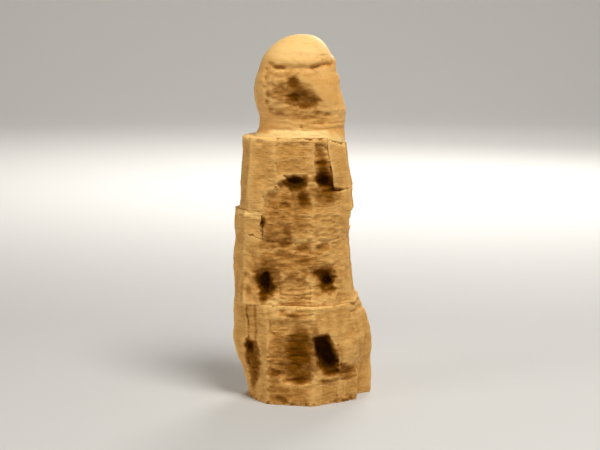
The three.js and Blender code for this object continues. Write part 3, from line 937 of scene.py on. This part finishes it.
def carve_pedestal():
    piece = blank("pedestal", "carved_pedestal")
    even_skin(piece, 0.56, 0.36)
    pedestal = Carving(piece, PEDESTAL_REACH, core=6.5)
    pedestal.swell(JOINT_SWELL)

    # The rough middle panel, set back between its neighbours, with an arch in it and a band at the foot.
    pedestal.press([(-17, 42), (4, 42), (4, 11.2), (-8.8, 11.4), (-12, 14.5), (-17, 17.4)], 1.1, edge=1.8)
    arch = [(-8.4, 14), (-8.2, 33), (-5, 38.5), (-1.9, 40.5), (1.6, 38), (4, 34), (4, 14)]
    pedestal.press(arch, 0.6, edge=2)
    pedestal.groove([(-8, 12.6), (-2, 12.4), (3.6, 13)], 2.2, 0.9)
    pedestal.groove([(-16.4, 16.6), (-10, 15)], 2.2, 0.7)
    pedestal.groove([(-6, 24.4), (3.6, 24.2)], 1.5, 0.6)
    pedestal.groove([(-8, 32), (3.4, 31.8)], 1.5, 0.5)
    # The panel and its arch are darkened with stain and painted shade, most in the painted shadow line at the
    # panel's foot.
    pedestal.darken_inside([(-16, 36), (4, 38), (4, 12), (-9, 12), (-16, 17)], 0.36, edge=8)
    dark_arch = [(-8.2, 14), (-8.2, 32), (-5.4, 37), (-2, 39.5), (1.4, 37.4), (4, 33), (4, 14)]
    pedestal.darken_inside(dark_arch, 0.6, edge=4)
    pedestal.darken_ovals(
        ((-4, 44.2), (5.2, 1.4), 0.46),
        ((5.8, 38), (2, 3.6), 0.36),
        ((-1, 36.4), (4.6, 2.8), 0.28),
        ((-1.4, 31.8), (5.4, 1.3), 0.5),
        ((-11, 28), (6, 2), 0.2),
        ((-2, 26), (6.4, 9), 0.75),
        ((-2, 24), (6.4, 2.6), 0.5),
        ((-12, 22.5), (5, 2), 0.34),
        ((-13, 20), (4, 2.8), 0.3),
        ((-3, 19), (8.4, 3.4), 0.54),
        ((-14.4, 15.6), (3, 1.8), 0.62),
        ((-2, 12.8), (5.6, 1.6), 0.82),
        ((-14, 11.6), (2.4, 1.8), 0.38),
    )

    # The deep pit under the right knee, darkened with stain and painted shade, and the fold that runs out of
    # it, with painted shadow under the fold and under the bulge above it.
    knee = [(4.9, 34.6), (12, 35.2), (15, 29.5), (17.4, 23), (17.4, 15), (11.3, 14.2), (7.5, 19), (5.2, 28)]
    pedestal.press(knee, 2.6, edge=2.4)
    pedestal.darken_inside(knee, 0.94, edge=3)
    pedestal.groove([(16.6, 23), (20, 18), (23.6, 16.2), (27, 17)], 2.4, 1.3)
    pedestal.dent((22.4, 25), (6, 8.5), -1.7, ragged=0.1)
    pedestal.darken_ovals(
        ((17.8, 26), (2, 3.2), 0.28),
        ((19, 17.4), (3, 2.6), 0.5),
        ((24, 16.2), (3.6, 1.2), 0.42),
        ((21, 15.6), (4.6, 1.2), 0.6),
        ((21.5, 12.8), (3.8, 1.6), 0.46),
        ((12, 12.2), (5, 1.4), 0.34),
    )

    # The left hip: a ladder of notches down to a long hollow, both darkened with stain and painted shade.
    pedestal.press([(-27.6, 50), (-23, 50), (-23.2, 30), (-27.6, 30)], 0.7, edge=1.6)
    for x in (-27.2, -23.4):
        pedestal.groove([(x, 50), (x - 0.2, 31)], 1.0, 0.6, stain_and_shade=0.6)
    pedestal.level_tears((47, 44.6))
    for z in (34, 38, 42.5, 46):
        pedestal.groove([(-27, z), (-23.4, z + 0.4)], 1.2, 0.5, stain_and_shade=0.12)
    hip = [(-28.4, 30.4), (-23.4, 30.4), (-21.6, 23), (-20.8, 15), (-22, 11), (-25.4, 4.5), (-27, 14)]
    pedestal.press(hip, 0.8, edge=1.8, top_depth=2.6)
    pedestal.darken_inside(hip, 0.56, edge=3)
    pedestal.darken((-26.4, 26.8), (2.2, 2.8), 0.9)
    pedestal.darken((-27.4, 21), (1.4, 4.6), 0.5)
    pedestal.darken((-23.8, 18), (2.2, 5), 0.62, lean=-8)

    # Facets down the right, with painted highlights on their edges and painted shade on those turned from the
    # light, and old stains at the foot.
    pedestal.press([(9.4, -1), (9.4, 12.6), (16.8, 12.6), (16.8, -1)], 0.9, edge=0.8)
    pedestal.press([(21, -1), (20.6, 15), (26.4, 15), (26.4, -1)], 0.8, edge=0.8)
    pedestal.press([(20.6, 34), (23, 46), (29, 44), (28, 32)], 0.9, edge=1.6)
    pedestal.press([(7.6, 45), (8.4, 36), (19, 36), (19, 47)], 0.35, edge=2)
    pedestal.paint_highlight([(17.4, 12), (17.4, 0)], 0.7, 0.4)
    pedestal.paint_highlight([(21.4, 40), (19, 30), (18.6, 22)], 0.9, 0.4)
    pedestal.dent((0, 44.4), (16, 1.5), 0.6, ragged=0.1, side="right")
    pedestal.dent((0, 47.8), (16, 1.1), 0.4, ragged=0.1, side="right")
    pedestal.dent((-10, 3), (5, 2.6), 0.4)
    pedestal.darken_inside([(-17.6, 10), (3, 9.6), (3, 0), (-17.6, 0)], 0.28, edge=4)
    pedestal.darken_ovals(
        ((31, 20), (2.4, 16), 0.16),
        ((-15, 8), (2, 2.4), 0.44),
        ((-3, 8), (3.6, 1.2), 0.38),
        ((24, 7), (2.4, 6), 0.14),
        ((-12.4, 6), (3.4, 5), 0.24),
        ((13, 6), (3, 5), 0.14),
        ((-10.4, 3), (4, 2), 0.5),
        ((14, 3), (3.4, 1.2), 0.2),
        ((22, 1.2), (4, 1.6), 0.36),
    )

    # The back and sides are plain: knife cuts run down to the foot, and one patch is torn.
    cuts = [(-20, 46, 20), (-11, 42, 8), (-3, 46, 22), (6, 40, 4), (13, 46, 18), (21, 38, 8)]
    for side in ("back", "left", "right"):
        pedestal.long_cuts(cuts, 2, 4.4, 0.6, side)
        pedestal.darken((0, 1.4), (22, 1.6), 0.22, side=side)
    pedestal.press([(-12, 26), (2, 28), (4, 16), (-8, 12)], 0.8, edge=1.2, side="back")
    pedestal.darken((-4, 20), (7, 5), 0.3, side="back")

    lap = pedestal.zone([(-20, 49), (14, 49), (6, 36), (5, 12), (-17.4, 12)], 4)
    front = pedestal.zone([(-22, 49), (26, 49), (28, 0), (-22, 0)], 6)
    hew(pedestal, np.maximum(lap, 0.4 * front), np.maximum(lap, 0.15 * front))
    pedestal.lip(PEDESTAL_TOP, 0.6, 43)
    pedestal.nibble([(-32, 48.8), (26, 48.8)], 14, 1.3, 71)
    pedestal.nibble([(-17, 42), (-17, 18), (-12, 14), (-8.8, 11.2), (4, 11.2), (4.4, 40)], 22, 1.2, 72)
    pedestal.nibble([(-28, 0.6), (28, 0.6)], 24, 1.6, 73)
    pedestal.nibble([(5, 34.4), (11.4, 35), (17.2, 23.8), (17.2, 15)], 12, 1.2, 74)
    # Painted highlights on the lit facet beside the knee, on the bulge, and along the ledges under the waist.
    pedestal.paint_highlight([(5.4, 46), (5.2, 12)], 1.2, 0.8)
    pedestal.paint_highlight([(22, 30), (22.4, 20)], 2.4, 0.3)
    pedestal.paint_highlight([(4, 46.4), (10.7, 47.4), (15.6, 50.4), (20.4, 53.4), (25, 57)], 1.4, 0.6)
    pedestal.paint_highlight([(-20.4, 51), (-16, 48.4), (-12, 47.4)], 1.2, 0.8)
    pedestal.paint_highlight([(-12, 48.4), (-4, 48), (5, 48.6)], 0.9, 0.8)
    pedestal.chip_edge(PEDESTAL_TOP, 24, 1.2, 35)
    pedestal.finish(hewn_wood)
    return piece


for make, node, slot in (
    (carve_head, "head", "smoothed_wood"),
    (carve_torso, "torso", "hewn_wood"),
    (carve_pedestal, "pedestal", "hewn_wood"),
    (carve_elbow_block, "left_elbow_block", "hewn_wood"),
    (carve_shoulder_slab, "right_shoulder_slab", "hewn_wood"),
):
    carved = make()
    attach(carved, "root")
    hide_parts(node)

for node in ("waist_dowel", "left_elbow_peg", "right_shoulder_peg"):
    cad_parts[node].data.materials.clear()
    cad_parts[node].data.materials.append(whittled_wood)


# ---------------------------------------------------------------------------------------------- stage

def soft_light(name, place, target, size, watts):
    bpy.ops.object.light_add(type="AREA", location=Vector(place) * MM)
    lamp = bpy.context.object
    lamp.name = name
    lamp.data.shape = "DISK"
    lamp.data.size = size * MM
    lamp.data.energy = watts
    lamp.rotation_euler = (Vector(target) - Vector(place)).to_track_quat("-Z", "Y").to_euler()


def make_backdrop():
    """A wide floor that sweeps up into a wall all round, so that every side is seen against pale card."""
    floor_radius, sweep, steps, wall = 1.6, 0.9, 12, 2.2
    bpy.ops.object.select_all(action="DESELECT")
    bpy.ops.mesh.primitive_circle_add(vertices=96, radius=floor_radius, fill_type="NGON")
    backdrop = bpy.context.object
    backdrop.name = "backdrop"
    bpy.ops.object.mode_set(mode="EDIT")
    bpy.ops.mesh.select_all(action="SELECT")
    turn = math.radians(90 / steps)
    for step in range(1, steps + 1):
        before, after = turn * (step - 1), turn * step
        grown = (floor_radius + sweep * math.sin(after)) / (floor_radius + sweep * math.sin(before))
        lift = sweep * (math.cos(before) - math.cos(after))
        bpy.ops.mesh.extrude_region_move(TRANSFORM_OT_translate={"value": (0, 0, lift)})
        bpy.ops.transform.resize(value=(grown, grown, 1), center_override=(0, 0, 0))
    bpy.ops.mesh.extrude_region_move(TRANSFORM_OT_translate={"value": (0, 0, wall)})
    bpy.ops.mesh.delete(type="ONLY_FACE")
    bpy.ops.object.mode_set(mode="OBJECT")
    bpy.ops.object.shade_smooth()
    return backdrop


def make_stage():
    floor = make_backdrop()
    card = bpy.data.materials.new("pale matt card")
    card.use_nodes = True
    card.node_tree.nodes["Principled BSDF"].inputs["Base Color"].default_value = linear("#c9c6c0")
    card.node_tree.nodes["Principled BSDF"].inputs["Roughness"].default_value = 0.9
    floor.data.materials.append(card)
    world = bpy.data.worlds.new("soft room")
    world.use_nodes = True
    world.node_tree.nodes["Background"].inputs["Color"].default_value = linear("#f2f1f0")
    world.node_tree.nodes["Background"].inputs["Strength"].default_value = 0.22
    bpy.context.scene.world = world
    bpy.context.scene.view_settings.view_transform = "Standard"
    chest = (0, 0, 100)
    soft_light("key above the front", (280, -380, 900), chest, 420, 8.5)
    soft_light("fill from the left", (-900, -500, 300), chest, 500, 3)
    soft_light("fill from behind", (300, 900, 600), chest, 500, 5)
    soft_light("wash on the backdrop", (0, 700, 900), (0, 1700, 300), 600, 14)


def make_camera():
    """The doll is seen from straight in front, 9 degrees above level, 720 mm away through a long lens."""
    target, rise, distance = Vector((-1.45, 0, 86)), math.radians(9), 720
    back = Vector((0, -math.cos(rise), math.sin(rise)))
    bpy.ops.object.camera_add(location=(target + back * distance) * MM)
    camera = bpy.context.object
    camera.rotation_euler = (-back).to_track_quat("-Z", "Y").to_euler()
    camera.data.sensor_width = 36
    camera.data.lens = 87.1
    camera.data.clip_end = 50
    bpy.context.scene.camera = camera


make_stage()
make_camera()
